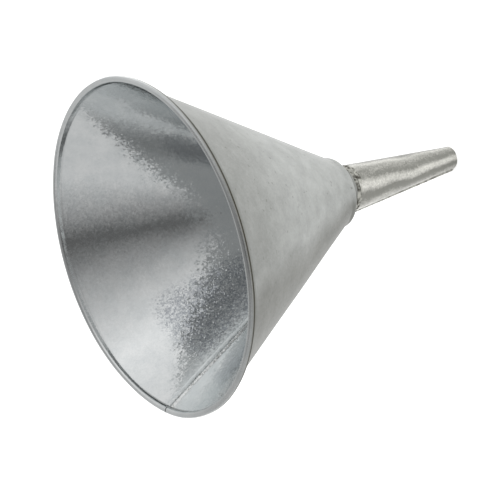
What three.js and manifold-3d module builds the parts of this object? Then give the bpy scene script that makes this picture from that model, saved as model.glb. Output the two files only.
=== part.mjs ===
// A tinsmith's filling funnel in galvanised sheet steel, in millimetres.
// +Z runs up the axis to the mouth. The origin is on the axis in the shoulder plane, where the
// cone stops and the neck of a container holds it. All the seams lie on the -X side.
import * as THREE from 'three';
import { mergeVertices } from 'three/addons/utils/BufferGeometryUtils.js';
import Module from 'manifold-3d';

// Cone
const mouthDiameter = 200; // over the rolled rim
const coneDepth = 137.4; // rim wire's plane to the shoulder plane
const smallEndDiameter = 38.2; // outside of the wall, carried on to the shoulder plane
const sheet = 0.45; // thickness of all the sheet steel

// Rolled rim: the sheet stands up in a short band, then curls outwards over a wire
const wireDiameter = 2.4;
const wireClearance = 0.25; // wire to the curl round it
const bandHeight = 2.2; // wire's plane to the crease where the cone wall starts
const bandLean = 0.65; // how far the band leans inwards over its height
const rimGap = 0.6; // between the two butted ends of the curl
const wireGap = 1.4; // between the two ends of the wire
const curlSides = 12; // facets in a full turn of the curl, flat on top
const curlFacets = 10; // of which this many are rolled

// Shoulder, drawn in from the wall to the collar
const bendRadius = 3; // outside of the bend
const bendSwell = 1; // how far the bend stands proud of the wall
const swellLength = 8; // length of wall that runs out to the bend
const bendFacets = 4;
const filletRadius = 1.2; // shoulder to collar
const filletFacets = 3;
const shoulderPlane = 0; // height of the shoulder's underside

// Collar, inside the top of the spout
const collarFlare = 0.4; // wider at its root than where it enters the spout
const collarOverlap = 9.5; // length inside the spout
const slipClearance = 0.3; // collar to spout

// Spout
const neckShowing = 8; // length of collar between the shoulder plane and the spout
const spoutTopDiameter = 29.1;
const tipDiameter = 14.4;
const tipDepth = 91.6; // shoulder plane to the tip
const lapWidth = 3; // overlap of the spout's own seam
const lapClearance = 0.1; // between the lapped sheets

// Lock seam: four layers of hooked sheet, raised on the inside of the cone
const seamWidth = 4.5;
const seamClearance = 0.1; // between the hooked layers
const seamWallClearance = 0.2; // under the lowest hook, which is flat where the wall is round
const seamRimMargin = 1.5; // crease to the upper end of the hooks
const seamNeckMargin = 1.5; // lower end of the hooks to the start of the swell
const seamSink = 0.2; // how deep the hooks' roots are set in the wall

// Solder
const solderClearance = 0.3;
const seamSolderWidth = 1.1;
const neckSolderWidth = 0.5; // outwards from the collar
const neckSolderHeight = 2.2;
const solderFacets = 3; // across the hollow face of a run
const lapSolderWidth = 1.2;
const solderEndMargin = 2; // bare length at each end of a solder run

const coneSides = 60;
const spoutSides = 44;
const wireSides = 8;
const cutMargin = 1; // how far a cut runs past what it cuts
const weldTolerance = 1e-4; // corners closer than this are one corner

const galvanised = { color: 0xb4b7b9, metalness: 0.9, roughness: 0.42 };
const galvanisedSpout = { color: 0xbdbfba, metalness: 0.9, roughness: 0.38 };
const steelWire = { color: 0x8f9295, metalness: 0.95, roughness: 0.45 };
const softSolder = { color: 0xc9c9c6, metalness: 0.85, roughness: 0.35 };

// Sizes that follow from the ones above
const mouthRadius = mouthDiameter / 2;
const wireRadius = wireDiameter / 2;
const curlInside = wireRadius + wireClearance;
const beadRadius = curlInside + sheet;
const beadCentre = mouthRadius - beadRadius; // radius of the circle the wire lies on
const creaseHeight = coneDepth - bandHeight;
const creaseInside = beadCentre - beadRadius - bandLean;
const smallEndRadius = smallEndDiameter / 2;

// The wall's inside passes through the crease, and its outside through the small end.
const wallRun = Math.hypot(creaseInside - smallEndRadius, creaseHeight);
const halfAngle =
  Math.atan2(creaseInside - smallEndRadius, creaseHeight) + Math.asin(sheet / wallRun);
const wallSlope = Math.tan(halfAngle);
const wallAcross = sheet / Math.cos(halfAngle); // the wall's thickness along a radius

const tipOutside = tipDiameter / 2;
const spoutTop = shoulderPlane - neckShowing;
const tipHeight = shoulderPlane - tipDepth;
const spoutTopOutside = spoutTopDiameter / 2;
const spoutSlope = (spoutTopOutside - tipOutside) / (spoutTop - tipHeight);
const spoutAngle = Math.atan(spoutSlope);
const spoutAcross = sheet / Math.cos(spoutAngle);
const collarEnd = spoutTop - collarOverlap;

const wallOutside = (height) => smallEndRadius + height * wallSlope;
const wallInside = (height) => wallOutside(height) - wallAcross;
const spoutOutside = (height) => tipOutside + (height - tipHeight) * spoutSlope;
const spoutInside = (height) => spoutOutside(height) - spoutAcross;
const collarOutside = (height) => spoutInside(height) - slipClearance;
const collarRoot = collarOutside(spoutTop) + collarFlare;

// The bend's centre, set so that the bend is proud of the wall by its swell
const bendHeight = shoulderPlane + bendRadius;
const bendCentre = wallOutside(bendHeight) - (bendRadius - bendSwell) / Math.cos(halfAngle);
const swellTurn = Math.atan(bendSwell / swellLength);
const swellStart = bendHeight + swellLength * Math.cos(halfAngle);

const wasm = await Module();
wasm.setup();

const point = (radius, height) => new THREE.Vector2(radius, height);

// Points on an arc in the plane of radius and height, from one angle to another
function arc(radius, height, size, from, to, facets) {
  return Array.from({ length: facets + 1 }, (_, i) => {
    const angle = from + ((to - from) * i) / facets;
    return point(radius + size * Math.cos(angle), height + size * Math.sin(angle));
  });
}

// A closed outline turned about the Z axis, with its faces pointing out
function turned(outline, sides) {
  const around = THREE.ShapeUtils.isClockWise(outline) ? [...outline].reverse() : outline;
  const geometry = new THREE.LatheGeometry([...around, around[0]], sides);
  return geometry.rotateX(Math.PI / 2);
}

function block(width, depth, height, x, y, z) {
  return new THREE.BoxGeometry(width, depth, height).translate(x, y, z);
}

// A shape drawn across a seam and carried down it. Across runs along +Y, and out is the
// direction away from the sheet that the seam lies on.
function carriedDown(outline, start, down, out, length) {
  const shape = new THREE.Shape(outline);
  const geometry = new THREE.ExtrudeGeometry(shape, { depth: length, bevelEnabled: false });
  const across = new THREE.Vector3().crossVectors(out, down);
  const place = new THREE.Matrix4().makeBasis(across, out, down).setPosition(start);
  return geometry.applyMatrix4(place);
}

function solid(geometry) {
  const bare = geometry.clone();
  bare.deleteAttribute('normal');
  bare.deleteAttribute('uv');
  const merged = mergeVertices(bare, weldTolerance);
  const mesh = new wasm.Mesh({
    numProp: 3,
    vertProperties: new Float32Array(merged.attributes.position.array),
    triVerts: new Uint32Array(merged.index.array),
  });
  mesh.merge();
  return new wasm.Manifold(mesh);
}

function surface(body) {
  const mesh = body.getMesh();
  const geometry = new THREE.BufferGeometry();
  geometry.setAttribute('position', new THREE.BufferAttribute(mesh.vertProperties, 3));
  geometry.setIndex(new THREE.BufferAttribute(mesh.triVerts, 1));
  geometry.computeVertexNormals();
  return geometry;
}

// A slab on the -X side that cuts a gap of this width through all that lies between two heights
function seamCut(width, centre, low, high) {
  const reach = mouthRadius + cutMargin;
  return solid(block(reach, width, high - low, -reach / 2, centre, (low + high) / 2));
}

// The section of a run of solder in a corner: two straight sides, and a hollow face between them
function solderSection(cornerX, cornerY, width, height) {
  const face = Array.from({ length: solderFacets + 1 }, (_, i) => {
    const turn = (Math.PI / 2) * (i / solderFacets);
    return point(cornerX + width * (1 - Math.sin(turn)), cornerY + height * (1 - Math.cos(turn)));
  });
  return [point(cornerX, cornerY), ...face];
}

// Curl of the rim, seen in section: from the band, up over the wire and outwards round it
function curl(radius) {
  const step = (2 * Math.PI) / curlSides;
  const corner = radius / Math.cos(step / 2);
  const start = Math.PI + step / 2;
  return arc(beadCentre, coneDepth, corner, start, start - curlFacets * step, curlFacets);
}

// One face of the cone's sheet in section, from the end of the collar up to the crease. The inset
// is 0 for the outside and the sheet's thickness for the side that the liquid runs on.
function coneFace(inset) {
  const turnIn = [collarRoot + filletRadius, shoulderPlane - filletRadius, filletRadius + inset];
  const bend = [bendCentre, bendHeight, bendRadius - inset];
  const across = inset / Math.cos(halfAngle);
  return [
    point(collarOutside(collarEnd) - inset, collarEnd),
    point(collarOutside(spoutTop) - inset, spoutTop),
    ...arc(...turnIn, Math.PI, Math.PI / 2, filletFacets),
    ...arc(...bend, -Math.PI / 2, swellTurn - halfAngle, bendFacets),
    point(wallOutside(swellStart) - across, swellStart),
    point(creaseInside + wallAcross - across, creaseHeight),
  ];
}

// The whole sheet in section, without its seam
function coneOutline() {
  return [
    ...coneFace(sheet),
    ...curl(beadRadius),
    ...curl(curlInside).reverse(),
    ...coneFace(0).reverse(),
  ];
}

// Heights between which the hooks of the lock seam run
const seamTop = creaseHeight - seamRimMargin;
const seamBottom = swellStart + seamNeckMargin;
const coneDown = new THREE.Vector3(Math.sin(halfAngle), 0, -Math.cos(halfAngle));
const coneIn = new THREE.Vector3(Math.cos(halfAngle), 0, Math.sin(halfAngle));
const seamLength = (seamTop - seamBottom) / Math.cos(halfAngle);
const seamStart = new THREE.Vector3(-wallOutside(seamTop), 0, seamTop);

// Levels of the seam's layers above the outside of the wall, and its edges across it
const lowHook = sheet + seamWallClearance;
const midHook = lowHook + sheet + seamClearance;
const cover = midHook + sheet + seamClearance;
const seamHeight = cover + sheet;
const seamEdge = seamWidth / 2;
const slitEdge = seamEdge - sheet - seamClearance;

// The wall's one end turns up and folds back between the layers of the other.
function innerHook() {
  const fold = slitEdge - sheet;
  const free = -seamEdge + sheet + seamClearance;
  return [
    point(fold, sheet - seamSink),
    point(slitEdge, sheet - seamSink),
    point(slitEdge, midHook + sheet),
    point(free, midHook + sheet),
    point(free, midHook),
    point(fold, midHook),
  ];
}

// The other end rises over that fold, covers it and turns under it.
function outerHook() {
  const free = slitEdge - sheet - seamClearance;
  return [
    point(seamEdge - sheet, sheet - seamSink),
    point(seamEdge, sheet - seamSink),
    point(seamEdge, seamHeight),
    point(-seamEdge, seamHeight),
    point(-seamEdge, lowHook),
    point(free, lowHook),
    point(free, lowHook + sheet),
    point(-seamEdge + sheet, lowHook + sheet),
    point(-seamEdge + sheet, cover),
    point(seamEdge - sheet, cover),
  ];
}

const onSeam = (outline) => solid(carriedDown(outline, seamStart, coneDown, coneIn, seamLength));

function coneBody() {
  const slitCentre = slitEdge + seamClearance / 2;
  const rimTop = coneDepth + beadRadius;
  const slit = seamCut(seamClearance, slitCentre, collarEnd - cutMargin, rimTop + cutMargin);
  const butt = seamCut(rimGap, slitCentre, creaseHeight, rimTop + cutMargin);
  const sheetRing = solid(turned(coneOutline(), coneSides)).subtract(slit).subtract(butt);
  return surface(sheetRing.add(onSeam(innerHook())).add(onSeam(outerHook())));
}

function rimWire() {
  const step = (2 * Math.PI) / wireSides;
  const corner = wireRadius / Math.cos(step / 2);
  const start = step / 2;
  const end = 2 * Math.PI - start;
  const section = arc(beadCentre, coneDepth, corner, start, end, wireSides - 1);
  const gap = seamCut(wireGap, slitEdge, coneDepth - beadRadius, coneDepth + beadRadius);
  return surface(solid(turned(section, coneSides)).subtract(gap));
}

// A tube that follows the spout's taper, between two distances from its outer face
function spoutShell(inner, outer) {
  const outline = [
    point(tipOutside + inner, tipHeight),
    point(tipOutside + outer, tipHeight),
    point(spoutTopOutside + outer, spoutTop),
    point(spoutTopOutside + inner, spoutTop),
  ];
  return solid(turned(outline, spoutSides));
}

// A strip of a shell on the -X side, between two distances along Y
function strip(shell, from, to) {
  const middle = (from + to) / 2;
  const keep = seamCut(to - from, middle, tipHeight - cutMargin, spoutTop + cutMargin);
  return shell.intersect(keep);
}

function spout() {
  const lapOuter = lapClearance + spoutAcross;
  const slit = seamCut(lapClearance, 0, tipHeight - cutMargin, spoutTop + cutMargin);
  const tube = spoutShell(-spoutAcross, 0).subtract(slit);
  const flap = strip(spoutShell(lapClearance, lapOuter), -lapWidth, lapClearance + sheet);
  const rise = strip(spoutShell(-spoutAcross / 2, lapOuter), lapClearance / 2, lapClearance + sheet);
  return surface(tube.add(flap).add(rise));
}

// A fillet of solder in the corner between the collar and the end of the spout
function neckSolder() {
  const foot = collarRoot + solderClearance;
  const low = spoutTop + solderClearance;
  return turned(solderSection(foot, low, neckSolderWidth, neckSolderHeight), spoutSides);
}

// A fillet of solder along the folded edge of the lock seam. The wall is round and the fillet is
// straight, so it stands off by what the wall rises over its reach at the narrow end.
function seamSolder() {
  const edge = -seamEdge - solderClearance;
  const roundness = wallInside(seamBottom);
  const rise = roundness - Math.sqrt(roundness ** 2 - (edge - seamSolderWidth) ** 2);
  const wall = sheet + solderClearance + rise;
  const outline = solderSection(edge, wall, -seamSolderWidth, seamSolderWidth);
  const start = seamStart.clone().addScaledVector(coneDown, solderEndMargin);
  return carriedDown(outline, start, coneDown, coneIn, seamLength - 2 * solderEndMargin);
}

// A flat run of solder along the free edge of the spout's lap
function lapSolder() {
  const shell = spoutShell(solderClearance, solderClearance + sheet);
  const edge = -lapWidth - solderClearance;
  const low = tipHeight + solderEndMargin;
  const high = spoutTop - solderEndMargin;
  const keep = seamCut(lapSolderWidth, edge - lapSolderWidth / 2, low, high);
  return surface(shell.intersect(keep));
}

const funnel = new THREE.Group();

function addPiece(name, geometry, finish) {
  const mesh = new THREE.Mesh(geometry, new THREE.MeshStandardMaterial(finish));
  mesh.name = name;
  funnel.add(mesh);
}

addPiece('cone_body', coneBody(), galvanised);
addPiece('rim_wire', rimWire(), steelWire);
addPiece('spout', spout(), galvanisedSpout);
addPiece('neck_solder', neckSolder(), softSolder);
addPiece('seam_solder', seamSolder(), softSolder);
addPiece('spout_seam_solder', lapSolder(), softSolder);

export default funnel;
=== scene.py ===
# A galvanised steel filling funnel, built round the frame that the CAD gives.
# Lengths in the dictionaries are millimetres, and meshes are made in metres.
import bpy
import math
import numpy as np
from mathutils import Matrix, Vector


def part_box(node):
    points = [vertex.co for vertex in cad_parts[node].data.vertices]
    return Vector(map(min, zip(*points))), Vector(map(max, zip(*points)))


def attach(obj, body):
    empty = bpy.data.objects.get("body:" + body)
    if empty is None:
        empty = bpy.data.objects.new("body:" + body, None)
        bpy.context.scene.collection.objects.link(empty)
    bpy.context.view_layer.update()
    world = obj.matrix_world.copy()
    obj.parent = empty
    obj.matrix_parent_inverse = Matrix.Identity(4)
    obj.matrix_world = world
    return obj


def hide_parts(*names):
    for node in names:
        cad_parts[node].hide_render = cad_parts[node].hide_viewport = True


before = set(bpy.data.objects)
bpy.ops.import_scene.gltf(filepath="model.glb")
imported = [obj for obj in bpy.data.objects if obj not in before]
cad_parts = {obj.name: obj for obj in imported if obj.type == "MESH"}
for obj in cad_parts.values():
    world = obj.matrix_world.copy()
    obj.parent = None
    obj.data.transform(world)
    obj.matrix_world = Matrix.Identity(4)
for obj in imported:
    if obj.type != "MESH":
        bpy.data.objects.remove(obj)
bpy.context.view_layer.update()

coneLow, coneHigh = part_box("cone_body")
spoutLow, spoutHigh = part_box("spout")
tipHeight = spoutLow.z * 1000
spoutTop = spoutHigh.z * 1000
rimTop = coneHigh.z * 1000
mouthRadius = coneHigh.x * 1000
print("frame loaded, rim top", round(rimTop, 2), "mm, tip", round(tipHeight, 2), "mm")


def ease(share):
    # 0 to 1 with a level start and end: 3 s^2 - 2 s^3
    share = np.clip(share, 0, 1)
    return share * share * (3 - 2 * share)


def arc(radius, height, size, start, end, count):
    # Points on a circle round (radius, height): centre + size * (cos, sin) of the angle
    turn = np.linspace(start, end, count)
    return np.column_stack([radius + size * np.cos(turn), height + size * np.sin(turn)])


def line(start, end, count):
    # Points at equal steps from start towards end, without the end
    share = np.linspace(0, 1, count, endpoint=False)[:, None]
    return np.array(start) * (1 - share) + np.array(end) * share


def softCorner(before, corner, after, count):
    # A corner rounded off: (1-t)^2 before + 2 t (1-t) corner + t^2 after
    t = np.linspace(0, 1, count)[:, None]
    before, corner, after = np.array(before), np.array(corner), np.array(after)
    return (1 - t) ** 2 * before + 2 * t * (1 - t) * corner + t ** 2 * after


def beside(path, distance):
    # The path moved sideways, to its left: path + distance * (unit tangent turned by 90 degrees)
    step = np.diff(path, axis=0)
    length = np.linalg.norm(step, axis=1, keepdims=True)
    step = step / length
    tangent = np.vstack([step[:1], step[:-1] * length[1:] + step[1:] * length[:-1], step[-1:]])
    tangent /= np.linalg.norm(tangent, axis=1, keepdims=True)
    return path + distance * np.column_stack([-tangent[:, 1], tangent[:, 0]])


def spread(first, last, count, edge):
    # Shares of a turn, closer together at both ends: even steps plus a few fine ones
    fine = np.array(edge)
    return np.concatenate([fine + first, np.linspace(first + fine[-1] * 2, last - fine[-1] * 2, count),
                           last - fine[::-1]])


def ripple(u, v, waves):
    # A sum of slow waves: size * sin(a u + b v + phase)
    return sum(size * np.sin(a * u + b * v + phase) for size, a, b, phase in waves)


def around(radius, height, turn):
    # Cylinder coordinates to points: (r cos, r sin, z)
    shape = np.broadcast_shapes(np.shape(radius), np.shape(height), np.shape(turn))
    radius, height, turn = (np.broadcast_to(a, shape) for a in (radius, height, turn))
    return np.stack([radius * np.cos(turn), radius * np.sin(turn), height], axis=-1)


def sheetMesh(name, outer, inner, closedRound=False, sharpAngle=35, marksAndShade=None):
    # The two faces of a sheet on one grid (rows, columns), joined round its edges into a closed
    # shell. The loop of rows runs down the outer face and back up the inner one. Marks and shade
    # is a dictionary of values on the two faces: which face is the outside, dirt, wear, painted shade.
    rows, columns = outer.shape[:2]
    front = np.arange(rows * columns).reshape(rows, columns)
    back = front + rows * columns
    if closedRound:
        front = np.hstack([front, front[:, :1]])
        back = np.hstack([back, back[:, :1]])
    grids = [np.vstack([front, back[::-1], front[:1]])]
    if not closedRound:
        grids.append(np.column_stack([back[:, 0], front[:, 0]]))
        grids.append(np.column_stack([front[:, -1], back[:, -1]]))
    quads = np.concatenate([
        np.stack([g[:-1, :-1], g[:-1, 1:], g[1:, 1:], g[1:, :-1]], axis=-1).reshape(-1, 4) for g in grids])
    points = np.concatenate([outer.reshape(-1, 3), inner.reshape(-1, 3)]) / 1000
    piece = meshFrom(name, points, quads, sharpAngle)
    for kind, faces in (marksAndShade or {}).items():
        layer = piece.data.attributes.new(kind, "FLOAT", "POINT")
        values = [np.broadcast_to(face, outer.shape[:2]).ravel() for face in faces]
        layer.data.foreach_set("value", np.concatenate(values).astype(np.float32))
    return piece


def meshFrom(name, points, quads, sharpAngle=35):
    # Faces are turned outwards: the volume under them, a sum of p . (q x r) / 6, is made positive
    a, b, c, d = (points[quads[:, k]] for k in range(4))
    volume = np.einsum("ij,ij->i", a, np.cross(b, c)).sum() + np.einsum("ij,ij->i", a, np.cross(c, d)).sum()
    if volume < 0:
        quads = quads[:, ::-1]
    mesh = bpy.data.meshes.new(name)
    mesh.vertices.add(len(points))
    mesh.vertices.foreach_set("co", points.astype(np.float32).ravel())
    mesh.loops.add(quads.size)
    mesh.loops.foreach_set("vertex_index", quads.astype(np.int32).ravel())
    mesh.polygons.add(len(quads))
    mesh.polygons.foreach_set("loop_start", np.arange(0, quads.size, 4, dtype=np.int32))
    mesh.update(calc_edges=True)
    mesh.validate()
    mesh.shade_smooth()
    mesh.set_sharp_from_angle(angle=math.radians(sharpAngle))
    piece = bpy.data.objects.new(name, mesh)
    bpy.context.scene.collection.objects.link(piece)
    return piece


def finishPiece(piece, slot, material, *nodes):
    # Every piece of a funnel without joints rides on the one body
    piece.data.materials.append(material)
    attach(piece, "root")
    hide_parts(*nodes)
    print(piece.name, len(piece.data.polygons), "faces")


def toLinear(hexColour):
    # sRGB hex to linear: c / 12.92 in the toe, and ((c + 0.055) / 1.055) ^ 2.4 above it
    parts = [int(hexColour[i:i + 2], 16) / 255 for i in (1, 3, 5)]
    return tuple(c / 12.92 if c <= 0.04045 else ((c + 0.055) / 1.055) ** 2.4 for c in parts) + (1.0,)


def addNode(tree, kind, settings=None, inputs=None):
    # Adds a node. An input is a number, a colour, or another node's output to link.
    made = tree.nodes.new(kind)
    for name, value in (settings or {}).items():
        setattr(made, name, value)
    for name, value in (inputs or {}).items():
        if isinstance(value, bpy.types.NodeSocket):
            tree.links.new(value, made.inputs[name])
        else:
            made.inputs[name].default_value = value
    return made


def newMaterial(name):
    material = bpy.data.materials.new(name)
    material.use_nodes = True
    tree = material.node_tree
    tree.nodes.clear()
    return material, tree


zincSheet = {
    "crystal": 1.2,  # width of the zinc's crystals
    "lean": 0.045,  # how much a crystal's facet leans
    "fleck": 0.55,  # finest crystals, drawn coarse enough to show
    "fleckLean": 0.10,
    "wornLean": 0.09,  # where funnels stacked in it have rubbed the wall
    "wornFleckLean": 0.26,
    # blue-grey of the rubbed patch, which is also a painted dark reflection
    "wornAndReflection": "#465063",
    "wornReflectionDepth": 0.36,
    "mottle": 11.0,  # patches of duller zinc
    "mottleStretch": (1.0, 1.0, 1.0),
    "mottleShare": 1.0,
    "streakShare": 0.0,
    "light": "#eceeee",
    "dull": "#dde1e2",
    "roughness": 0.08,
    "dullRoughness": 0.17,
    "outsideShadedLight": "#aeb0ae",  # the outside: zinc dulled by handling, and darkened further as painted shade
    "outsideShadedDull": "#999b99",
    "scuffedRoughness": 0.42,
    "stain": "#2e2b18",  # dark olive for the pits, and for painted shade on the outside
    "stainAndShadeDepth": 0.56,
    "pitDepth": 0.28,
    # dark olive for dirt and painted shade in creases, on the bead and in the curl
    "dirtAndShade": "#302d1c",
    "dirtAndShadeRoughness": 0.6,
    "scratchWidth": 0.30,
    "scratchRoughness": 0.40,
    "scratchCount": 3,  # long ones, drawn at random anywhere inside the cone
    "scratchSeed": 1,
    "scratchTop": (0.6, 0.9),  # where one starts, as a share of the wall's height
    "scratchDrop": (0.2, 0.4),  # how far down the wall it runs, as such a share
    "scratchTurn": 25,  # how far round it runs at most, either way, in degrees
}


def galvanisedMaterial(name, look):
    # Hot-dip galvanised steel sheet: molten zinc froze on it in small crystals, so the metal is
    # bright and half blurred, each crystal leans its own way, and duller patches drift over it.
    material, tree = newMaterial(name)
    place = addNode(tree, "ShaderNodeTexCoord").outputs["Object"]
    crystals = addNode(tree, "ShaderNodeTexVoronoi", {"feature": "F1"}, {
        "Vector": place, "Scale": 1000 / look["crystal"]})
    flecks = addNode(tree, "ShaderNodeTexVoronoi", {"feature": "F1"}, {
        "Vector": place, "Scale": 1000 / look["fleck"]})
    stretched = addNode(tree, "ShaderNodeMapping", {}, {"Vector": place, "Scale": look["mottleStretch"]})
    mottle = addNode(tree, "ShaderNodeTexNoise", {}, {
        "Vector": stretched.outputs[0], "Scale": 1000 / look["mottle"], "Detail": 6.0, "Roughness": 0.66})
    leaf = addNode(tree, "ShaderNodeSeparateColor", {}, {"Color": crystals.outputs["Color"]})
    fleck = addNode(tree, "ShaderNodeSeparateColor", {}, {"Color": flecks.outputs["Color"]})
    outsideFace, stainAndShade, dirtAndShade, wornAndReflection, runsAndReflections = (
        addNode(tree, "ShaderNodeAttribute", {"attribute_name": kind}).outputs["Fac"]
        for kind in ("outsideFace", "stainAndShade", "dirtAndShade", "wornAndReflection", "runsAndReflections"))
    # How dull each point is: slow patches, plus each crystal's own shade, plus runs of zinc and painted
    # reflection streaks
    shade = addNode(tree, "ShaderNodeMapRange", {}, {
        0: mottle.outputs["Fac"], 1: 0.36, 2: 0.66, 3: 0.0, 4: look["mottleShare"]}).outputs[0]
    for amount, share in ((leaf.outputs[0], 0.30), (fleck.outputs[0], 0.35), (runsAndReflections, look["streakShare"])):
        shade = addNode(tree, "ShaderNodeMath", {"operation": "MULTIPLY_ADD"}, {
            0: amount, 1: share, 2: shade}).outputs[0]
    patch = addNode(tree, "ShaderNodeMapRange", {}, {0: shade, 1: 0.1, 2: 1.5}).outputs[0]
    inside = addNode(tree, "ShaderNodeMix", {"data_type": "RGBA"}, {
        "Factor": patch, 6: toLinear(look["light"]), 7: toLinear(look["dull"])}).outputs[2]
    colour = addNode(tree, "ShaderNodeMix", {"data_type": "RGBA"}, {
        "Factor": patch, 6: toLinear(look["outsideShadedLight"]), 7: toLinear(look["outsideShadedDull"])}).outputs[2]
    # Rubbed zinc, with a painted dark reflection over it, goes blue-grey crystal by crystal, so it looks
    # speckled
    for chance in (leaf.outputs[2], fleck.outputs[1]):
        rubbedAndReflection = addNode(tree, "ShaderNodeMath", {"operation": "MULTIPLY"}, {0: wornAndReflection, 1: chance}).outputs[0]
        rubbedAndReflection = addNode(tree, "ShaderNodeMapRange", {}, {
            0: rubbedAndReflection, 1: 0.35, 2: 0.65, 3: 0.0, 4: look["wornReflectionDepth"]}).outputs[0]
        inside = addNode(tree, "ShaderNodeMix", {"data_type": "RGBA"}, {
            "Factor": rubbedAndReflection, 6: inside, 7: toLinear(look["wornAndReflection"])}).outputs[2]
    # Small dark pits in the scuffed side, one in every few hundred crystals
    pit = addNode(tree, "ShaderNodeMapRange", {}, {
        0: leaf.outputs[1], 1: 0.988, 2: 0.996, 3: 0.0, 4: look["pitDepth"]}).outputs[0]
    # On the outside: painted shade towards the seam, darker towards the rim, and small pits, all in the dark
    # colour
    stain = addNode(tree, "ShaderNodeMapRange", {}, {0: stainAndShade, 3: 0.0, 4: look["stainAndShadeDepth"]}).outputs[0]
    for amount in (stain, pit):
        colour = addNode(tree, "ShaderNodeMix", {"data_type": "RGBA"}, {
            "Factor": amount, 6: colour, 7: toLinear(look["stain"])}).outputs[2]
    # The outside face takes the darker colours: duller zinc, and painted shade
    colour = addNode(tree, "ShaderNodeMix", {"data_type": "RGBA"}, {
        "Factor": outsideFace, 6: inside, 7: colour}).outputs[2]
    # Dirt and painted shade in the creases, on the bead, in the curl and along the slit
    colour = addNode(tree, "ShaderNodeMix", {"data_type": "RGBA"}, {
        "Factor": dirtAndShade, 6: colour, 7: toLinear(look["dirtAndShade"])}).outputs[2]
    roughness = addNode(tree, "ShaderNodeMapRange", {}, {
        0: shade, 1: 0.1, 2: 1.5, 3: look["roughness"], 4: look["dullRoughness"]}).outputs[0]
    rougher = [(outsideFace, look["scuffedRoughness"]), (dirtAndShade, look["dirtAndShadeRoughness"])]
    chances = np.random.default_rng(look["scratchSeed"])
    for _ in range(look["scratchCount"]):
        # A scratch lies where the surface meets a plane through its two ends and the sheet's
        # own normal, no farther from its middle than either end
        turn, share = chances.uniform(-180, 180), chances.uniform(*look["scratchTop"])
        start = insideWall(turn, share)
        endTurn = turn + chances.uniform(-look["scratchTurn"], look["scratchTurn"])
        end = insideWall(endTurn, share - chances.uniform(*look["scratchDrop"]))
        middle = (start + end) / 2
        across = (end - start).cross(Vector((middle.x, middle.y, 0))).normalized()
        off = addNode(tree, "ShaderNodeVectorMath", {"operation": "DOT_PRODUCT"}, {0: place, 1: across})
        near = addNode(tree, "ShaderNodeVectorMath", {"operation": "DISTANCE"}, {0: place, 1: middle})
        onLine = addNode(tree, "ShaderNodeMath", {"operation": "COMPARE"}, {
            0: off.outputs["Value"], 1: across.dot(middle), 2: look["scratchWidth"] / 2000})
        within = addNode(tree, "ShaderNodeMath", {"operation": "LESS_THAN"}, {
            0: near.outputs["Value"], 1: (end - start).length / 2})
        cut = addNode(tree, "ShaderNodeMath", {"operation": "MULTIPLY"}, {
            0: onLine.outputs[0], 1: within.outputs[0]})
        rougher.append((cut.outputs[0], look["scratchRoughness"]))
    for amount, value in rougher:
        roughness = addNode(tree, "ShaderNodeMix", {"data_type": "FLOAT"}, {
            "Factor": amount, 2: roughness, 3: value}).outputs[0]
    # Facets: the normal plus a random lean, the same all over one crystal. Few flecks lean far,
    # by lean * share ^ 5.
    facet = addNode(tree, "ShaderNodeNewGeometry").outputs["Normal"]
    broad = addNode(tree, "ShaderNodeMapRange", {}, {
        0: wornAndReflection, 3: look["lean"], 4: look["wornLean"]}).outputs[0]
    most = addNode(tree, "ShaderNodeMapRange", {}, {
        0: wornAndReflection, 3: look["fleckLean"], 4: look["wornFleckLean"]}).outputs[0]
    rare = addNode(tree, "ShaderNodeMath", {"operation": "POWER"}, {0: fleck.outputs[2], 1: 5.0}).outputs[0]
    rare = addNode(tree, "ShaderNodeMath", {"operation": "MULTIPLY"}, {0: rare, 1: most}).outputs[0]
    for cells, size in ((crystals, broad), (flecks, rare)):
        lean = addNode(tree, "ShaderNodeVectorMath", {"operation": "SUBTRACT"}, {
            0: cells.outputs["Color"], 1: (0.5, 0.5, 0.5)}).outputs[0]
        lean = addNode(tree, "ShaderNodeVectorMath", {"operation": "SCALE"}, {
            0: lean, "Scale": size}).outputs[0]
        facet = addNode(tree, "ShaderNodeVectorMath", {"operation": "ADD"}, {0: lean, 1: facet}).outputs[0]
    facet = addNode(tree, "ShaderNodeVectorMath", {"operation": "NORMALIZE"}, {0: facet}).outputs[0]
    shader = addNode(tree, "ShaderNodeBsdfPrincipled", {}, {
        "Metallic": 1.0, "Base Color": colour, "Roughness": roughness, "Normal": facet})
    addNode(tree, "ShaderNodeOutputMaterial", {}, {"Surface": shader.outputs[0]})
    return material


seamSolderLook = {"light": "#e8eaea", "flux": "#cfcec8", "lump": 1.6, "cleanest": 0.46, "foulest": 0.34,
                  "metallic": 1.0, "fluxMetallic": 0.8, "roughness": 0.22, "bump": 0.0003}
neckSolderLook = {"light": "#a9a9a2", "flux": "#4e4c45", "lump": 2.4, "cleanest": 0.56, "foulest": 0.38,
                  "metallic": 1.0, "fluxMetallic": 0.6, "roughness": 0.34, "bump": 0.0006}


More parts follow.
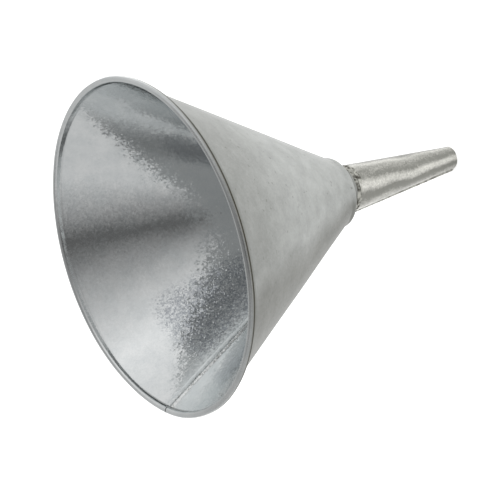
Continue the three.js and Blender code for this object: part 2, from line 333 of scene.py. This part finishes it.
def solderMaterial(name, look):
    # Soft tin solder, run on with an iron: bright and lumpy where it froze, with brown flux
    # left in its hollows, which takes the shine away. Wiped smooth, it greys over and looks pale.
    material, tree = newMaterial(name)
    place = addNode(tree, "ShaderNodeTexCoord").outputs["Object"]
    lumps = addNode(tree, "ShaderNodeTexNoise", {}, {
        "Vector": place, "Scale": 1000 / look["lump"], "Detail": 4.0, "Roughness": 0.6}).outputs["Fac"]
    stain = addNode(tree, "ShaderNodeMapRange", {}, {
        0: lumps, 1: look["foulest"], 2: look["cleanest"], 3: 1.0, 4: 0.0}).outputs[0]
    colour = addNode(tree, "ShaderNodeMix", {"data_type": "RGBA"}, {
        "Factor": stain, 6: toLinear(look["light"]), 7: toLinear(look["flux"])}).outputs[2]
    metallic = addNode(tree, "ShaderNodeMapRange", {}, {
        0: stain, 3: look["metallic"], 4: look["fluxMetallic"]}).outputs[0]
    roughness = addNode(tree, "ShaderNodeMapRange", {}, {0: stain, 3: look["roughness"], 4: 0.6}).outputs[0]
    bump = addNode(tree, "ShaderNodeBump", {}, {"Height": lumps, "Strength": 0.5, "Distance": look["bump"]})
    shader = addNode(tree, "ShaderNodeBsdfPrincipled", {}, {
        "Metallic": metallic, "Base Color": colour, "Roughness": roughness, "Normal": bump.outputs[0]})
    addNode(tree, "ShaderNodeOutputMaterial", {}, {"Surface": shader.outputs[0]})
    return material


wireLook = {"steel": "#5c5d5e", "mark": 1.1, "polished": 0.35, "dull": 0.55}


def wireMaterial(name, look):
    # Drawn steel wire, never zinc coated: dark grey with drawing soap, and duller in fine marks.
    material, tree = newMaterial(name)
    place = addNode(tree, "ShaderNodeTexCoord").outputs["Object"]
    marks = addNode(tree, "ShaderNodeTexNoise", {}, {
        "Vector": place, "Scale": 1000 / look["mark"], "Detail": 3.0}).outputs["Fac"]
    roughness = addNode(tree, "ShaderNodeMapRange", {}, {
        0: marks, 1: 0.3, 2: 0.7, 3: look["polished"], 4: look["dull"]}).outputs[0]
    shader = addNode(tree, "ShaderNodeBsdfPrincipled", {}, {
        "Metallic": 1.0, "Base Color": toLinear(look["steel"]), "Roughness": roughness})
    addNode(tree, "ShaderNodeOutputMaterial", {}, {"Surface": shader.outputs[0]})
    return material


cone = {
    "sheet": 0.45,
    "wireHeight": rimTop - 1.9,  # plane of the rim's wire, under the top of the bead
    "beadRadius": 1.9,
    "wireRadius": 1.2,
    "bandHeight": 2.2,
    "bandLean": 0.65,
    "creaseRound": 0.9,
    "creaseSlide": 1.15,
    "smallEndRadius": 19.1,
    "bendRadius": 3.0,
    "bendSwell": 1.15,
    "bendTurn": 0.58,  # slope of the swell where it leaves the bend
    "filletRadius": 1.2,
    "collarFlare": 0.4,
    "collarOverlap": 9.5,
    "slipClearance": 0.3,
    "curlEnd": -118.0,  # degrees, where the curl's edge stops under the wire
    "curlRows": 30,
    "columns": 380,
    "slitY": 1.75,  # the two ends of the sheet meet here, on the -X side
    "slitGap": 0.1,
    "buttGap": 0.7,  # the gap across the bead, which widens outwards and stands to one side
    "buttSplay": 0.6,
    "buttShift": 2.1,
    "seamBulge": 0.8,  # the rim stands out a little where the seam's layers meet it
    "slitRound": 0.55,  # each end turns in to the seam with this radius
}
spoutShape = {
    "topRadius": 14.55,
    "tipRadius": 7.2,
    "lapWidth": 3.0,
    "lapRise": 0.56,
    "columns": 220,
    "streakCount": 8,  # runs of zinc and painted reflection streaks, drawn at random round the spout
    "streakSeed": 1,
    "streakWidth": (9, 18),  # degrees
    "streakDulls": (0.3, 0.7),
}

half = cone["sheet"] / 2
beadCentre = mouthRadius - cone["beadRadius"]
creaseHeight = cone["wireHeight"] - cone["bandHeight"]
creaseInside = beadCentre - cone["beadRadius"] - cone["bandLean"]
wallRun = math.hypot(creaseInside - cone["smallEndRadius"], creaseHeight)
halfAngle = math.atan2(creaseInside - cone["smallEndRadius"], creaseHeight)
halfAngle = halfAngle + math.asin(cone["sheet"] / wallRun)
upWall = np.array([math.sin(halfAngle), math.cos(halfAngle)])  # up the wall, as (radius, height)
outOfWall = np.array([math.cos(halfAngle), -math.sin(halfAngle)])
spoutSlope = (spoutShape["topRadius"] - spoutShape["tipRadius"]) / (spoutTop - tipHeight)


def wallOutside(height):
    # The cone's straight outside: small end + height * tan(half angle)
    return cone["smallEndRadius"] + height * math.tan(halfAngle)


def spoutOutside(height):
    return spoutShape["tipRadius"] + (height - tipHeight) * spoutSlope


def collarOutside(height):
    return spoutOutside(height) - cone["sheet"] / math.cos(math.atan(spoutSlope)) - cone["slipClearance"]


def insideWall(degrees, share):
    # A point on the cone's inside, in metres: degrees round the axis, share of the wall's height
    height = share * creaseHeight
    return Vector(around(wallOutside(height) - cone["sheet"], height, math.radians(degrees))) / 1000


galvanised = galvanisedMaterial("galvanisedSheet", zincSheet)
# The spout's sheet: darker than the cone's, as painted shade, with runs of zinc and painted reflection
# streaks
galvanisedSpout = galvanisedMaterial("galvanisedSpout", dict(
    zincSheet, mottle=7.0, mottleStretch=(1.0, 1.0, 0.22), mottleShare=0.45, streakShare=1.25,
    light="#d3d2cc", dull="#7f7f7a", roughness=0.14, dullRoughness=0.30, scratchCount=0))
cleanSolder = solderMaterial("softSolder", seamSolderLook)
fluxedSolder = solderMaterial("softSolderFluxed", neckSolderLook)
drawnWire = wireMaterial("drawnSteelWire", wireLook)
print("materials made")


def conePath():
    # Half-way through the sheet, as (radius, height): collar, fillet, shoulder, bend, wall with
    # its swell, crease, band and the curl over the wire
    collarEnd = spoutTop - cone["collarOverlap"]
    collarRoot = collarOutside(spoutTop) + cone["collarFlare"]
    bendHeight = cone["bendRadius"]
    bendCentre = wallOutside(bendHeight) - (cone["bendRadius"] - cone["bendSwell"]) / math.cos(halfAngle)
    collar = line((collarOutside(collarEnd) - half, collarEnd), (collarOutside(spoutTop) - half, spoutTop), 5)
    neck = line((collarOutside(spoutTop) - half, spoutTop), (collarRoot - half, -cone["filletRadius"]), 6)
    fillet = arc(collarRoot + cone["filletRadius"], -cone["filletRadius"], cone["filletRadius"] + half,
                 math.pi, math.pi / 2, 7)
    bend = arc(bendCentre, bendHeight, cone["bendRadius"] - half,
               -math.pi / 2, cone["bendTurn"] - halfAngle, 11)
    # Wall: a swell that dies away as (1 - d / reach)^2 up the wall
    proud = cone["bendRadius"] * math.cos(cone["bendTurn"]) - (cone["bendRadius"] - cone["bendSwell"])
    reach = 2 * proud / math.tan(cone["bendTurn"])
    foot = np.array([bendCentre, bendHeight]) + outOfWall * (cone["bendRadius"] - cone["bendSwell"] - half)
    foot = foot + upWall * cone["bendRadius"] * math.sin(cone["bendTurn"])
    creaseMid = np.array([creaseInside + half / math.cos(halfAngle), creaseHeight])
    length = float((creaseMid - foot) @ upWall)
    climb = np.concatenate([np.linspace(0.8, reach, 8),
                            np.linspace(reach, length - cone["creaseRound"], 30)[1:]])
    rise = proud * np.clip(1 - climb / reach, 0, 1) ** 2
    wall = foot + climb[:, None] * upWall + rise[:, None] * outOfWall
    curlSize = cone["beadRadius"] - half
    bandTop = np.array([beadCentre - curlSize, cone["wireHeight"]])
    upBand = (bandTop - creaseMid) / np.linalg.norm(bandTop - creaseMid)
    crease = softCorner(wall[-1], creaseMid, creaseMid + upBand * cone["creaseRound"], 6)[1:]
    curl = arc(beadCentre, cone["wireHeight"], curlSize, math.pi - 0.12, math.radians(cone["curlEnd"]),
               cone["curlRows"])
    return np.vstack([collar, neck, fillet, bend, wall, crease, curl])


# Slow waves from rolling and handling the sheet: size, times round, waves up the wall, phase
rimWaves = [(0.30, 2, 0, 0.6), (0.16, 3, 0, 2.2), (0.08, 5, 0, 4.0)]
wallWaves = [(0.060, 6, 0.045, 0.3), (0.045, 9, -0.07, 1.9), (0.030, 14, 0.10, 4.4), (0.020, 21, -0.13, 2.7)]


def settle(points):
    # Moves points out from the axis by rise(z) * rim waves + wall waves, where rise grows from 0
    # at the shoulder to 1 at the rim, and out over the seam by bulge * exp(-(angle / 0.3)^2)
    height = points[..., 2]
    radius = np.hypot(points[..., 0], points[..., 1])
    turn = np.arctan2(points[..., 1], points[..., 0])
    rise = ease((height - 10) / 110)
    middle = ease((height - 10) / 30)
    fromSeam = np.angle(np.exp(1j * (turn - math.pi - 0.12)))
    bulge = cone["seamBulge"] * np.exp(-(fromSeam / 0.3) ** 2)
    moved = radius + rise * (ripple(turn, 0, rimWaves) + bulge) + middle * ripple(turn, height, wallWaves)
    return around(moved, height, turn)


path = conePath()
dry, wet = beside(path, -half), beside(path, half)
share = spread(0, 1, cone["columns"], [0, 0.0003, 0.0007, 0.0013, 0.002, 0.003])
onBead = (np.arange(len(path)) >= len(path) - cone["curlRows"])[:, None]
beadTurn = np.degrees(np.arctan2(path[:, 1:] - cone["wireHeight"], path[:, :1] - beadCentre))


def fromSeamAngle(points):
    # Radians round the axis from the middle of the seam, which lies on -X
    return np.abs(np.arctan2(points[..., 1], -points[..., 0]))


def coneSheetFace(face):
    # The sheet goes once round from one side of the slit to the other. The slit is narrow up the
    # wall and opens above the crease, and both ends turn in round a small radius beside it.
    radius, height = face[:, :1], face[:, 1:]
    opened = np.where(onBead, 1.0, ease((path[:, 1:] - creaseHeight) / 0.8))
    splay = cone["buttSplay"] * ease((30 - beadTurn) / 60) * onBead
    gap = cone["slitGap"] + (cone["buttGap"] - cone["slitGap"]) * opened + splay
    slit = math.pi - np.arcsin((cone["slitY"] - cone["buttShift"] * opened) / radius)
    turn = slit + gap / 2 / radius + share * (2 * math.pi - gap / radius)
    fromEnd = np.minimum(share, 1 - share) * 2 * math.pi * radius
    inside = np.clip(1 - fromEnd / cone["slitRound"], 0, 1)
    turnIn = cone["slitRound"] * (1 - np.sqrt(1 - inside ** 2)) * (1 - opened) * 0.6
    # Near the seam the crease was pushed up against the bead: it slides up the line of the wall
    fromSeam = np.abs(np.angle(np.exp(1j * (turn - math.pi))))
    slide = cone["creaseSlide"] * (1 - ease((fromSeam - 0.35) / 0.7))
    slide = slide * ease((height - creaseHeight + 6) / 6) * (1 - ease((height - creaseHeight - 0.1) / 2.0))
    radius = radius - turnIn + slide * upWall[0]
    return settle(around(radius, height + slide * upWall[1], turn))


wetFace, dryFace = coneSheetFace(wet), coneSheetFace(dry)
nearSeam = 1 - ease((fromSeamAngle(wetFace) - 0.06) / 0.35)
towardsFront = ease(-1.5 * wetFace[..., 1] / np.hypot(wetFace[..., 0], wetFace[..., 1]))
# Dirt and painted shade in the crease under the bead, over the bead (more on its front, -Y, side) and all
# through the curl
fromCrease = np.hypot(path[:, :1] - creaseInside, path[:, 1:] - creaseHeight)
wetDirtAndShade = np.exp(-(fromCrease / 0.42) ** 2) * (0.12 + 0.60 * nearSeam)
wetDirtAndShade = wetDirtAndShade + onBead * ease((45 - beadTurn) / 70) * (0.55 + 0.15 * towardsFront)
wetDirtAndShade = wetDirtAndShade + onBead * (0.08 + 0.22 * towardsFront)
# On the outside: painted shade inside the curl, in the crevice under it, at the foot near the neck and along
# the slit
dryDirtAndShade = onBead * 0.92 + (1 - onBead) * np.exp(-((path[:, 1:] - creaseHeight) / 1.6) ** 2) * 0.6
dryDirtAndShade = dryDirtAndShade + 0.34 * ease((1.0 - path[:, 1:]) / 4)
fromSlit = np.minimum(share, 1 - share) * 2 * math.pi * path[:, :1]
dryDirtAndShade = np.clip(dryDirtAndShade + 0.85 * np.exp(-(fromSlit / 0.7) ** 2) * (path[:, 1:] > 0), 0, 0.95)
# Outside, painted shade darkens the sheet towards the seam, and the sheet is darker up towards the rim
outside = dryFace[..., 0] / np.hypot(dryFace[..., 0], dryFace[..., 1])
drift = 0.05 * np.sin(dryFace[..., 2] * 0.06 + 1) + 0.03 * np.sin(dryFace[..., 2] * 0.17)
stainAndShade = np.maximum(ease((0.13 + drift - outside) / 0.46), 0.48 * ease((path[:, 1:] - 60) / 60))
# Inside, to one side of the seam: where funnels stacked in this one rubbed the wall, with a painted dark
# reflection there
rubbedReflectionPatch = {
    "besideSeam": 0.45,  # middle of the patch, in radians round from the seam
    "reach": 0.45,
    "foot": 20,
    "top": 120,
    "fade": 25,
}
patchTurn = np.arctan2(wetFace[..., 1], wetFace[..., 0])
patchMiddle = math.pi - rubbedReflectionPatch["besideSeam"]
wornAndReflection = np.exp(-((patchTurn - patchMiddle) / rubbedReflectionPatch["reach"]) ** 4)
wornAndReflection = wornAndReflection * ease((rubbedReflectionPatch["top"] - wetFace[..., 2]) / rubbedReflectionPatch["fade"])
wornAndReflection = wornAndReflection * ease((wetFace[..., 2] - rubbedReflectionPatch["foot"]) / rubbedReflectionPatch["fade"])
coneSheet = sheetMesh("cone_sheet", wetFace, dryFace, marksAndShade={
    "outsideFace": (0.0, 1.0), "stainAndShade": (0.0, stainAndShade), "dirtAndShade": (wetDirtAndShade, dryDirtAndShade), "wornAndReflection": (wornAndReflection, 0.0)})
finishPiece(coneSheet, "galvanised_sheet", galvanised, "cone_body")


wire = {"gap": 0.4, "jointY": -6.0, "columns": 300, "facets": 12}


def rimWireTube():
    # A ring of round wire, open at the seam: (r + w cos v, w sin v) turned by u
    section = np.linspace(0, 2 * math.pi, wire["facets"], endpoint=False)
    start = math.pi - math.asin((wire["jointY"] - wire["gap"] / 2) / beadCentre)
    end = math.pi - math.asin((wire["jointY"] + wire["gap"] / 2) / beadCentre)
    turn = np.linspace(start, end + 2 * math.pi, wire["columns"])
    radius = beadCentre + cone["wireRadius"] * np.cos(section)
    height = cone["wireHeight"] + cone["wireRadius"] * np.sin(section)
    return settle(around(radius[None, :], height[None, :], turn[:, None]))


def tubeMesh(name, rings):
    # Rings of points joined into a tube, with its two ends closed by a fan
    count, facets = rings.shape[:2]
    index = np.arange(count * facets).reshape(count, facets)
    index = np.hstack([index, index[:, :1]])
    quads = np.stack([index[:-1, :-1], index[:-1, 1:], index[1:, 1:], index[1:, :-1]], axis=-1).reshape(-1, 4)
    middle = facets // 2
    lower, upper = np.arange(middle + 1), np.arange(facets, middle - 1, -1) % facets
    cap = np.stack([lower[:-1], lower[1:], upper[1:], upper[:-1]], axis=-1)
    last = cap[:, ::-1] + (count - 1) * facets
    return meshFrom(name, rings.reshape(-1, 3) / 1000, np.concatenate([quads, cap, last]))


rimWire = tubeMesh("rim_wire_ring", rimWireTube())
finishPiece(rimWire, "rim_wire", drawnWire, "rim_wire")


seam = {
    "edge": 2.25,  # half its width
    "sheet": 0.30,  # each fold, hammered thinner than the sheet it was bent from
    "lowHook": 0.46,  # heights above the outside of the wall
    "step": 0.31,
    "corner": 0.26,  # radius of the folds
    "top": creaseHeight + 0.75,
    "bottom": 11.45,
    "rows": 90,
}
solderRun = {"width": 2.3, "thick": 0.72, "smear": 0.08, "rows": 220, "columns": 40}


def onWall(down, across, height):
    # A point beside the seam: down the wall from the seam's upper end, across it along +Y, and up
    # from the outside of the wall towards the axis
    wallHeight = seam["top"] - down * math.cos(halfAngle)
    outside = wallOutside(wallHeight)
    turn = math.pi - across / outside
    return settle(around(outside - height * math.cos(halfAngle),
                         wallHeight + height * math.sin(halfAngle), turn))


def foldedPath(corners, radius, perCorner=5):
    # A polyline with its corners rounded off, each by a short curve
    corners = np.array(corners, float)
    parts = [corners[:1]]
    for before, corner, after in zip(corners[:-2], corners[1:-1], corners[2:]):
        back, on = before - corner, after - corner
        reachBack = min(radius, np.linalg.norm(back) / 2) * back / np.linalg.norm(back)
        reachOn = min(radius, np.linalg.norm(on) / 2) * on / np.linalg.norm(on)
        parts.append(softCorner(corner + reachBack, corner, corner + reachOn, perCorner))
    parts.append(corners[-1:])
    return np.vstack(parts)


seamLength = (seam["top"] - seam["bottom"]) / math.cos(halfAngle)
thin = seam["sheet"] / 2
edge, low, step = seam["edge"], seam["lowHook"] + thin, seam["step"]
mid, high = low + step, low + 2 * step
slitSide = edge - 0.45 - 0.1
outerHook = [(edge - thin, 0.1), (edge - thin, high), (-edge + thin, high), (-edge + thin, low),
             (slitSide - 0.6, low)]
innerHook = [(slitSide - thin, 0.1), (slitSide - thin, mid), (-edge + 0.6, mid)]


def pressedDown(down, height):
    # The seam was hammered flat, blow by blow, so its height varies by a few hundredths
    return height * (1 + 0.025 * np.sin(down * 0.9) * np.sin(down * 0.37 + 1) + 0.015 * np.sin(down * 2.3))


def hookFace(corners, offset):
    # The fold's path moved to one face of the sheet, and carried down the wall
    across, height = beside(foldedPath(corners, seam["corner"]), offset).T
    down = np.linspace(0, seamLength, seam["rows"])[:, None]
    return onWall(down, across[None, :], pressedDown(down, height[None, :]))


for name, hook in (("seam_outer_fold", outerHook), ("seam_inner_fold", innerHook)):
    fold = sheetMesh(name, hookFace(hook, thin), hookFace(hook, -thin), sharpAngle=50)
    finishPiece(fold, "galvanised_sheet", galvanised, "cone_body")


def runsAndReflectionStreaks():
    # Where each run of zinc, also a painted reflection streak, lies round the spout and how wide it is, in
    # degrees, and how dull: every other one is bright, a painted highlight
    chances = np.random.default_rng(spoutShape["streakSeed"])
    return [(chances.uniform(-180, 180), chances.uniform(*spoutShape["streakWidth"]),
             chances.uniform(*spoutShape["streakDulls"]) * (-1) ** number)
            for number in range(spoutShape["streakCount"])]


spoutStreaks = runsAndReflectionStreaks()


def spoutFace(offset):
    # The sheet goes round from its inner edge to its outer edge, which laps 3 mm over it. It
    # rises on to the lap by ease(s) * rise. Returns the points, then how dull the zinc is there, with its
    # painted reflection streaks.
    height = np.concatenate([[spoutTop, spoutTop - 0.12], np.linspace(spoutTop - 0.6, tipHeight + 0.6, 60),
                             [tipHeight + 0.12, tipHeight]])[:, None]
    radius = spoutOutside(height) - half - 0.02
    start = math.pi + 0.1 / radius
    end = 3 * math.pi + spoutShape["lapWidth"] / radius
    shares = spread(0, 1, spoutShape["columns"], [0, 0.002, 0.005])
    turn = start + shares * (end - start)
    beyond = (turn - 3 * math.pi) * radius
    lift = spoutShape["lapRise"] * ease((beyond + 0.9) / 0.9)
    dents = 0.05 * ripple(turn, height, [(1, 2, 0.05, 0.5), (0.7, 3, -0.09, 2), (0.4, 7, 0.2, 1)])
    dents = dents * ease((spoutTop - height) / 8)
    # Runs of zinc and painted reflection streaks: 0.48 plus a sum of dullness * exp(-(angle / width)^2),
    # wandering down the spout
    wander = np.degrees(turn) + 4 * np.sin(height * 0.09) + 2 * np.sin(height * 0.23 + 1)
    dull = 0.48 + sum(depth * np.exp(-(((wander - at + 180) % 360 - 180) / width) ** 2)
                      for at, width, depth in spoutStreaks)
    return around(radius + offset + lift + dents, height, turn), np.clip(dull, 0, 1)


(spoutOuter, outerStreaks), (spoutInner, innerStreaks) = spoutFace(half), spoutFace(-half)
spoutTube = sheetMesh("spout_tube", spoutOuter, spoutInner, marksAndShade={"runsAndReflections": (outerStreaks, innerStreaks)})
finishPiece(spoutTube, "galvanised_spout", galvanisedSpout, "spout")


def seamSolderLayer(lift):
    # A fillet along the seam's folded edge, and smears up over the seam: a layer as thick as
    # the solder on what lies under it, and sunk into it where there is none
    down = np.linspace(0.15, seamLength - 1.0, solderRun["rows"])[:, None]
    across = np.linspace(-edge - 3.2, -edge + 2.0, solderRun["columns"])[None, :]
    under = cone["sheet"] + (high + thin - cone["sheet"]) * ease((across + edge + 0.25) / 0.35)
    width = solderRun["width"] * (0.85 + 0.14 * np.sin(down * 0.21 + 0.4) + 0.12 * np.sin(down * 0.53)
                                  + 0.06 * np.sin(down * 1.7 + 2))
    beyond = (-edge - across) / width
    fillet = solderRun["thick"] * np.clip(1 - beyond, 0, 1) ** 1.25 * (beyond > -0.08)
    smear = solderRun["smear"] * np.clip(np.sin(down * 0.115 + 0.3) * np.sin(down * 0.031 + 2.1) - 0.25, 0, 1)
    smear = smear * np.clip(1 - ((across + edge - 0.3) / (1.6 + 0.5 * np.sin(down * 0.8))) ** 2, 0, 1)
    thick = fillet + smear + 0.02 * np.sin(down * 2.9) * np.sin(across * 3.1)
    height = pressedDown(down, under) - 0.07 + thick * lift - (1 - lift) * 0.25
    return onWall(down + 0 * across, across + 0 * down, height)


seamSolder = sheetMesh("seam_solder_run", seamSolderLayer(1), seamSolderLayer(0), sharpAngle=60)
finishPiece(seamSolder, "solder", cleanSolder, "seam_solder")


def neckSolderLayer(lift):
    # A lumpy fillet round the collar on the spout's end: the layer follows the collar down and
    # steps out over the spout's edge
    turn = np.linspace(0, 2 * math.pi, 260, endpoint=False)[None, :]
    along = np.linspace(0, 1, 46)[:, None]
    height = spoutTop + 3.6 - 7.4 * along
    collar = collarOutside(spoutTop) + cone["collarFlare"] * (height - spoutTop) / (-spoutTop - 1.2)
    under = np.where(height > spoutTop, collar, spoutOutside(height))
    lump = 0.5 + 0.22 * np.sin(3 * turn + 1) + 0.14 * np.sin(7 * turn + 2.5) + 0.06 * np.sin(17 * turn)
    up = (height - spoutTop) / (2.2 + 1.1 * lump)
    fillet = (0.35 + 0.4 * lump) * np.clip(1 - np.abs(up), 0, 1) ** 1.3 * (height > spoutTop)
    smears = np.clip(np.sin(4 * turn + 0.7) * np.sin(9 * turn + 2), 0, 1)
    skin = 0.11 * smears * ease(1 - np.abs(height - spoutTop + 0.2) / 1.4)
    # Where the iron lifted off, a wider smear ran on down the spout, exp(-(angle / 0.6)^2)
    liftOff = np.exp(-(np.angle(np.exp(1j * (turn + 0.45))) / 0.6) ** 2)
    skin = skin + 0.14 * liftOff * ease(1 - np.abs(height - spoutTop + 1.2) / 2.3)
    return around(under - 0.05 + (fillet + skin) * lift - (1 - lift) * 0.2, height, turn)


neckSolder = sheetMesh("neck_solder_ring", neckSolderLayer(1), neckSolderLayer(0), closedRound=True,
                       sharpAngle=70)
finishPiece(neckSolder, "solder", fluxedSolder, "neck_solder")


def lapSolderLayer(lift):
    # A thin run down the free edge of the spout's lap
    height = np.linspace(spoutTop - 1.0, tipHeight + 1.0, 160)[:, None]
    across = np.linspace(-spoutShape["lapWidth"] - 2.4, -spoutShape["lapWidth"] + 0.8, 26)[None, :]
    radius = spoutOutside(height)
    turn = math.pi - across / radius
    under = radius + spoutShape["lapRise"] * ease((across + spoutShape["lapWidth"] + 0.15) / 0.3)
    width = 1.0 + 0.35 * np.sin(height * 0.24) + 0.25 * np.sin(height * 0.71 + 1)
    beyond = (-spoutShape["lapWidth"] - across) / width
    thick = 0.5 * np.clip(1 - beyond, 0, 1) ** 1.5 * (beyond > -0.5)
    return around(under - 0.05 + thick * lift - (1 - lift) * 0.2, height, turn)


lapSolder = sheetMesh("lap_solder_run", lapSolderLayer(1), lapSolderLayer(0), sharpAngle=60)
finishPiece(lapSolder, "solder", fluxedSolder, "spout_seam_solder")


studio = {
    "floorSize": 6.0,
    "floorGlow": 0.74,
    "worldStrength": 1.0,
    "keyPower": 12.0,  # W
    "keySize": 1.6,
    "keyDistance": 1.8,
    "keyAzimuth": 150.0,  # behind the funnel and to its right
    "keyElevation": 44.0,
    # A light tent, as shares of white: its wall by azimuth, with 0 at the front, and its roof
    "tentWall": {-180: 0.6, -45: 0.6, 0: 0.1, 90: 0.9, 180: 0.6},
    "tentRoof": 0.3,
    "roofClimb": (40, 70),  # degrees of elevation over which the wall turns into the roof
}


def makeFloor():
    # Opal acrylic on a light table: it glows softly and takes a faint shadow
    size = studio["floorSize"] / 2
    mesh = bpy.data.meshes.new("studio_floor")
    z = tipHeight / 1000
    corners = [(-size, -size, z), (size, -size, z), (size, size, z), (-size, size, z)]
    mesh.from_pydata(corners, [], [(0, 1, 2, 3)])
    floor = bpy.data.objects.new("studio_floor", mesh)
    bpy.context.scene.collection.objects.link(floor)
    material, tree = newMaterial("opalAcrylic")
    place = addNode(tree, "ShaderNodeTexCoord").outputs["Object"]
    grain = addNode(tree, "ShaderNodeTexNoise", {}, {"Vector": place, "Scale": 40.0}).outputs["Fac"]
    roughness = addNode(tree, "ShaderNodeMapRange", {}, {
        0: grain, 1: 0.3, 2: 0.7, 3: 0.55, 4: 0.65}).outputs[0]
    shader = addNode(tree, "ShaderNodeBsdfPrincipled", {}, {
        "Base Color": toLinear("#f4f4f3"), "Roughness": roughness,
        "Emission Color": toLinear("#ffffff"), "Emission Strength": studio["floorGlow"]})
    addNode(tree, "ShaderNodeOutputMaterial", {}, {"Surface": shader.outputs[0]})
    mesh.materials.append(material)


def makeWorld():
    # A light tent: white walls to the right, grey to the left, open and dark at the front
    world = bpy.data.worlds.new("lightTent")
    bpy.context.scene.world = world
    world.use_nodes = True
    tree = world.node_tree
    tree.nodes.clear()
    place = addNode(tree, "ShaderNodeTexCoord").outputs["Generated"]
    axes = addNode(tree, "ShaderNodeSeparateXYZ", {}, {"Vector": place})
    flipped = addNode(tree, "ShaderNodeMath", {"operation": "MULTIPLY"}, {0: axes.outputs[1], 1: -1.0})
    azimuth = addNode(tree, "ShaderNodeMath", {"operation": "ARCTAN2"}, {
        0: axes.outputs[0], 1: flipped.outputs[0]})
    share = addNode(tree, "ShaderNodeMapRange", {}, {
        0: azimuth.outputs[0], 1: -math.pi, 2: math.pi}).outputs[0]
    wall = addNode(tree, "ShaderNodeValToRGB", {}, {"Fac": share})
    elements = wall.color_ramp.elements
    while len(elements) < len(studio["tentWall"]):
        elements.new(0.5)
    for element, (angle, shade) in zip(elements, sorted(studio["tentWall"].items())):
        element.position = (angle + 180) / 360
        element.color = (shade, shade, shade, 1)
    start, end = (math.sin(math.radians(angle)) for angle in studio["roofClimb"])
    climb = addNode(tree, "ShaderNodeMapRange", {}, {0: axes.outputs[2], 1: start, 2: end}).outputs[0]
    roof = studio["tentRoof"]
    sky = addNode(tree, "ShaderNodeMix", {"data_type": "RGBA"}, {
        "Factor": climb, 6: wall.outputs[0], 7: (roof, roof, roof, 1)}).outputs[2]
    background = addNode(tree, "ShaderNodeBackground", {}, {
        "Color": sky, "Strength": studio["worldStrength"]})
    addNode(tree, "ShaderNodeOutputWorld", {}, {"Surface": background.outputs[0]})


camera = {
    "aim": (-0.0199, 0.0016, 0.0662),
    "azimuth": 19.9,
    "elevation": 33.127,
    "roll": 107.224,
    "distance": 1.3,
    "lens": 158.4,
}


def makeCamera():
    # The camera looks along -back at the aim point, and is rolled about that line
    azimuth, elevation, roll = (math.radians(camera[k]) for k in ("azimuth", "elevation", "roll"))
    back = Vector((math.sin(azimuth) * math.cos(elevation), -math.cos(azimuth) * math.cos(elevation),
                   math.sin(elevation)))
    level = Vector((math.cos(azimuth), math.sin(azimuth), 0))
    up = back.cross(level) * math.cos(roll) + level * math.sin(roll)
    right = up.cross(back)
    data = bpy.data.cameras.new("studio_camera")
    data.lens = camera["lens"]
    data.sensor_width = 36
    data.clip_start = 0.05
    data.clip_end = 20
    made = bpy.data.objects.new("studio_camera", data)
    bpy.context.scene.collection.objects.link(made)
    turn = Matrix((right, up, back)).transposed().to_4x4()
    made.matrix_world = Matrix.Translation(Vector(camera["aim"]) + back * camera["distance"]) @ turn
    bpy.context.scene.camera = made


def makeKeyLight():
    # A wide soft box behind the funnel, so that its shadow falls forward under it
    azimuth, elevation = math.radians(studio["keyAzimuth"]), math.radians(studio["keyElevation"])
    away = Vector((math.sin(azimuth) * math.cos(elevation), -math.cos(azimuth) * math.cos(elevation),
                   math.sin(elevation)))
    data = bpy.data.lights.new("soft_box", "AREA")
    data.shape = "SQUARE"
    data.size = studio["keySize"]
    data.energy = studio["keyPower"]
    made = bpy.data.objects.new("soft_box", data)
    bpy.context.scene.collection.objects.link(made)
    made.location = away * studio["keyDistance"]
    made.rotation_mode = "QUATERNION"
    made.rotation_quaternion = away.to_track_quat("Z", "Y")
    made.visible_glossy = False


makeFloor()
makeWorld()
makeKeyLight()
makeCamera()
bpy.context.scene.view_settings.view_transform = "Standard"
print("floor, light and camera made")
